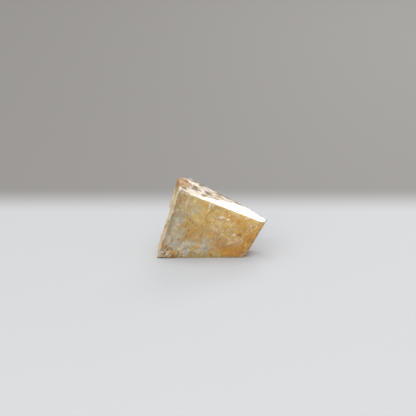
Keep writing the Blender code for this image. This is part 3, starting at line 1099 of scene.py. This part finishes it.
LIT_PLACE = Vector((0.0, 0.0, 0.012))  # what the lights face, in m
# Soft boxes: the way to them, as for the facets, distance and size in m, radiance, roll.
SOFT_BOXES = {
    "window": (166.0, 24.55, 1.2, (0.5, 0.30), 6.0, 16.7),
    "front_fill": (-15.0, 27.0, 1.0, (1.2, 0.7), 4.2, 0.0),
    "key": (204.0, 66.0, 1.2, (0.36, 0.36), 5.0, 0.0),
    "left_strip": (281.0, 47.0, 1.1, (0.15, 0.5), 4.0, 0.0),
}
WALL = (0.36, 0.352, 0.342, 1.0)
TENT = (1.42, 1.42, 1.42, 1.0)
TENT_RISE = (20.0, 45.0)  # where the walls turn into the tent, in degrees
FLOOR_NEAR = (0.362, 0.368, 0.378, 1.0)
FLOOR_FAR = (0.150, 0.142, 0.134, 1.0)
FLOOR_FADE = (45.0, 85.0)  # the floor darkens behind the stone, along Y
FLOOR_RADIUS = 3.0  # in m
FLOOR_GAP = 0.02  # between the floor and the stone
MIX_FIRST, MIX_SECOND, MIX_RESULT = 6, 7, 2  # a colour Mix node's sockets


def make_camera():
    data = bpy.data.cameras.new("camera")
    data.lens = CAMERA_LENS
    data.sensor_width = CAMERA_SENSOR
    data.clip_start = CAMERA_NEAR
    camera = link_object("camera", data)
    camera.location = CAMERA_PLACE
    camera.rotation_euler = (CAMERA_TARGET - CAMERA_PLACE).to_track_quat("-Z", "Y").to_euler()
    bpy.context.scene.camera = camera


def soft_box(name, bearing, height, distance, size, radiance, roll):
    """A rectangular light that faces the stone."""
    way = Vector(facing(bearing, height))
    data = bpy.data.lights.new(name, "AREA")
    data.shape = "RECTANGLE"
    data.size, data.size_y = size
    data.energy = radiance * math.pi * size[0] * size[1]
    light = link_object(name, data)
    light.location = LIT_PLACE + way * distance
    rolled = Quaternion((0.0, 0.0, 1.0), math.radians(roll))
    light.rotation_euler = (way.to_track_quat("Z", "Y") @ rolled).to_euler()
    light.visible_camera = False


def blend_node(tree, space, axis, ends, first, second):
    """Goes over from one colour to another between two places on an axis."""
    place = add_node(tree, "ShaderNodeTexCoord").outputs[space]
    height = add_node(tree, "ShaderNodeSeparateXYZ", Vector=place).outputs[axis]
    share = map_node(tree, height, (0.0, 1.0), source=ends, kind="SMOOTHSTEP")
    mix = add_node(tree, "ShaderNodeMix", data_type="RGBA", Factor=share)
    mix.inputs[MIX_FIRST].default_value = first
    mix.inputs[MIX_SECOND].default_value = second
    return mix.outputs[MIX_RESULT]


def make_world():
    """Grey walls with a brighter tent above them."""
    world = bpy.data.worlds.new("studio")
    bpy.context.scene.world = world
    world.use_nodes = True
    tree = world.node_tree
    rise = [math.sin(math.radians(angle)) for angle in TENT_RISE]
    colour = blend_node(tree, "Generated", "Z", rise, WALL, TENT)
    set_up(tree, tree.nodes["Background"], {"Color": colour})


def make_floor():
    bm = bmesh.new()
    bmesh.ops.create_circle(bm, cap_ends=True, segments=96, radius=FLOOR_RADIUS)
    mesh = mesh_from(bm, "floor")
    floor = link_object("floor", mesh)
    floor.location.z = -FLOOR_GAP * MM
    material, tree, shader = new_material("pale_floor")
    fade = [place * MM for place in FLOOR_FADE]
    colour = blend_node(tree, "Object", "Y", fade, FLOOR_NEAR, FLOOR_FAR)
    set_up(tree, shader, {"Base Color": colour, "Roughness": 0.7})
    mesh.materials.append(material)


def build():
    body = build_body()
    inside = Inside(body)
    minerals = {name: mineral_material(name, *looks) for name, looks in MINERALS.items()}
    gold, haze = minerals["rutile_gold"], minerals["golden_haze"]
    rust, film = minerals["iron_stain"], minerals["healed_film"]
    for name, settings in NEEDLES.items():
        needles(inside, name, gold, *settings)
    for name, settings in BUNDLES.items():
        bundles(inside, name, gold, *settings)
    dust(inside, haze, count=24000, sizes=(0.035, 0.075), margin=1.8)
    crumbs(inside, haze, 900, many=(5, 13), reach=(0.08, 0.26), sizes=(0.05, 0.16), margin=1.5)
    flecks(inside, rust, crowding=36.0, sizes=(0.07, 0.22))
    veils(inside, film)
    for name, (places, mineral, *settings) in MARKS.items():
        marks(inside, name, places, minerals[mineral], *settings)
    for name, (places, mineral, *settings) in HAZES.items():
        hazes(inside, name, places, minerals[mineral], *settings)
    top_cloud(inside, film, count=15000, sizes=(0.06, 0.18))
    skin_bloom(inside, film, count=9500, sizes=(0.06, 0.16))
    edge_seam(inside, rust, count=900, sizes=(0.04, 0.10))
    rind(body, minerals["weathered_rind"])


build()
make_camera()
make_world()
make_floor()
for box_name, settings in SOFT_BOXES.items():
    soft_box(box_name, *settings)
bpy.context.scene.view_settings.view_transform = "Standard"
